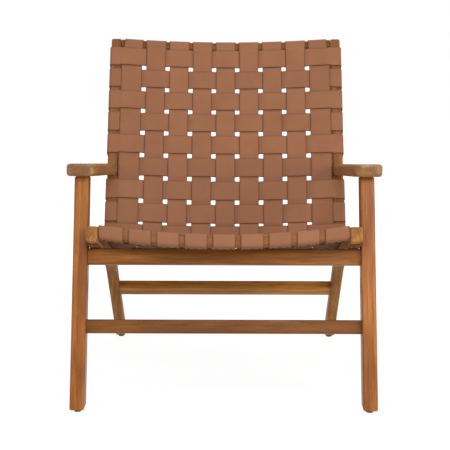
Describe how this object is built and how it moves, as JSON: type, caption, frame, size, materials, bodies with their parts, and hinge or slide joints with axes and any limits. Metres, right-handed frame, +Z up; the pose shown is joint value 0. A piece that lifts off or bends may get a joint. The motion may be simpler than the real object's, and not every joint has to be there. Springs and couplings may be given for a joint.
{
  "type": "lounge chair",
  "caption": "Low wooden lounge chair with raked legs, paddle armrests and a sling seat and back woven from wide leather straps over a dished frame.",
  "frame": {"origin": "on the floor, under the middle of the chair's bounding box", "axes": "+X to the right of someone who looks at the chair's front, +Y to the back, +Z up"},
  "size_m": [0.6994, 0.7702, 0.8074],
  "materials": {
    "teak": "oiled teak, fine straight grain, satin",
    "strap_leather": "smooth tan strap leather, satin, cut edges a little darker",
    "bolt_steel": "zinc plated steel",
    "glide_nylon": "dark brown nylon"
  },
  "bodies": {
    "root": {"front_leg_left": "teak", "side_rail_left": "teak", "back_post_left": "teak", "armrest_left": "teak", "front_leg_right": "teak", "side_rail_right": "teak", "back_post_right": "teak", "armrest_right": "teak", "seat_front_rail": "teak", "back_top_rail": "teak", "front_apron": "teak", "front_stretcher": "teak", "rear_stretcher": "teak", "long_strap_1": "strap_leather", "long_strap_2": "strap_leather", "long_strap_3": "strap_leather", "long_strap_4": "strap_leather", "long_strap_5": "strap_leather", "long_strap_6": "strap_leather", "long_strap_7": "strap_leather", "long_strap_8": "strap_leather", "long_strap_9": "strap_leather", "cross_strap_1": "strap_leather", "cross_strap_2": "strap_leather", "cross_strap_3": "strap_leather", "cross_strap_4": "strap_leather", "cross_strap_5": "strap_leather", "cross_strap_6": "strap_leather", "cross_strap_7": "strap_leather", "cross_strap_8": "strap_leather", "cross_strap_9": "strap_leather", "cross_strap_10": "strap_leather", "cross_strap_11": "strap_leather", "cross_strap_12": "strap_leather", "cross_strap_13": "strap_leather", "cross_strap_14": "strap_leather", "cross_strap_15": "strap_leather", "leg_bolt_left": "bolt_steel", "leg_spacer_left": "bolt_steel", "bolt_plug_left": "teak", "armrest_dowel_left": "teak", "front_glide_left": "glide_nylon", "rear_glide_left": "glide_nylon", "leg_bolt_right": "bolt_steel", "leg_spacer_right": "bolt_steel", "bolt_plug_right": "teak", "armrest_dowel_right": "teak", "front_glide_right": "glide_nylon", "rear_glide_right": "glide_nylon"}
  },
  "joints": []
}
